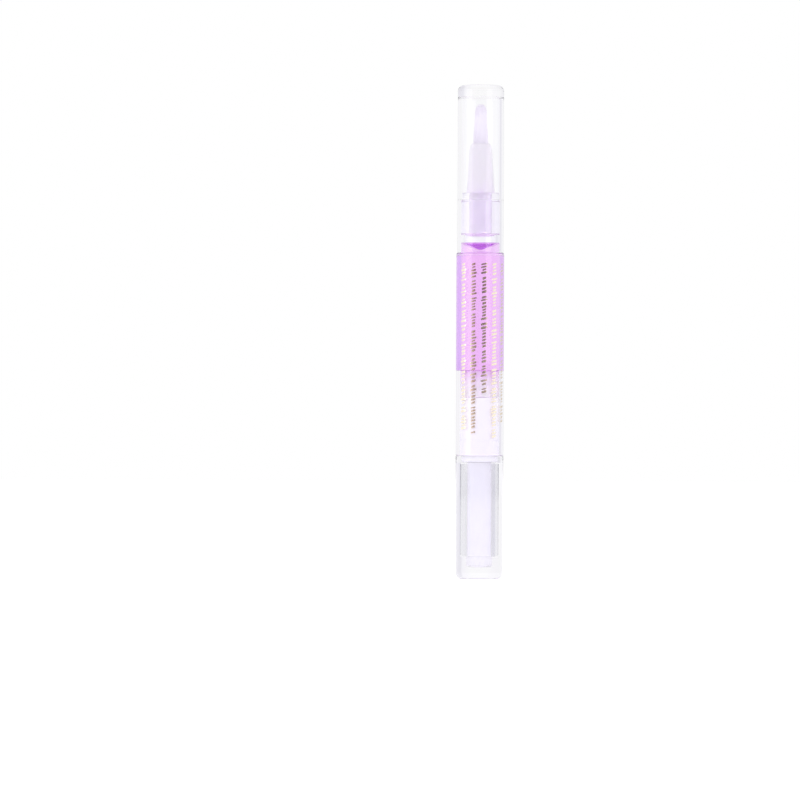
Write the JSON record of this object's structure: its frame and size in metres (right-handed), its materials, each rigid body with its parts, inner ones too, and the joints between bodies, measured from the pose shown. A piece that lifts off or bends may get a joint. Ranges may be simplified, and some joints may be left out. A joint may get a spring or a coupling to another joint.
{
  "type": "cuticle oil pen",
  "caption": "Clear twist-up cuticle oil pen: capped brush, oil chamber, piston on a lead screw, and a clear knob with a one-way ratchet.",
  "frame": {"origin": "middle of the knob's flat end, which the pen stands on", "axes": "+Z along the pen's axis from the knob to the cap; the pen is round, so +X and +Y are any two directions across it, with the screw's flats facing +Y and -Y at rest"},
  "size_m": [0.012, 0.012, 0.124],
  "materials": {
    "clear_shell": "clear, polished",
    "clear_cap": "clear, polished",
    "clear_plug": "clear, polished",
    "frosted_holder": "translucent, as moulded",
    "soft_piston": "soft, translucent",
    "white_insert": "as moulded",
    "nylon_bristle": "fine white nylon",
    "pink_oil": "clear tinted liquid"
  },
  "bodies": {
    "pen": {"barrel": "clear_shell", "neck_plug": "clear_plug", "ferrule": "frosted_holder", "feed_tube": "white_insert", "bristle_tuft": "nylon_bristle", "bearing_bush": "white_insert", "ratchet_ring": "white_insert", "guide_nut": "white_insert", "oil": "pink_oil"},
    "cap": {"cap": "clear_cap"},
    "knob": {"knob": "clear_shell", "drive_sleeve": "white_insert", "pawl_ring": "white_insert"},
    "lead_screw": {"lead_screw": "white_insert"},
    "piston": {"piston": "soft_piston"}
  },
  "joints": [
    {"name": "cap_pull", "type": "slide", "parent": "pen", "child": "cap", "axis": [0, 0, 1], "range_m": [0, 0.045]},
    {"name": "knob_twist", "type": "hinge", "parent": "pen", "child": "knob", "pos_m": [0, 0, 0], "axis": [0, 0, 1], "range_deg": [0, 5040]},
    {"name": "screw_feed", "type": "slide", "parent": "knob", "child": "lead_screw", "axis": [0, 0, 1], "range_m": [0, 0.0281]},
    {"name": "piston_feed", "type": "slide", "parent": "pen", "child": "piston", "axis": [0, 0, 1], "range_m": [0, 0.0281], "deforming": ["oil"]}
  ],
  "couplings": [
    {"joint": "screw_feed", "follows": "knob_twist", "m_per_rad": 0.00031831},
    {"joint": "piston_feed", "follows": "knob_twist", "m_per_rad": 0.00031831}
  ]
}
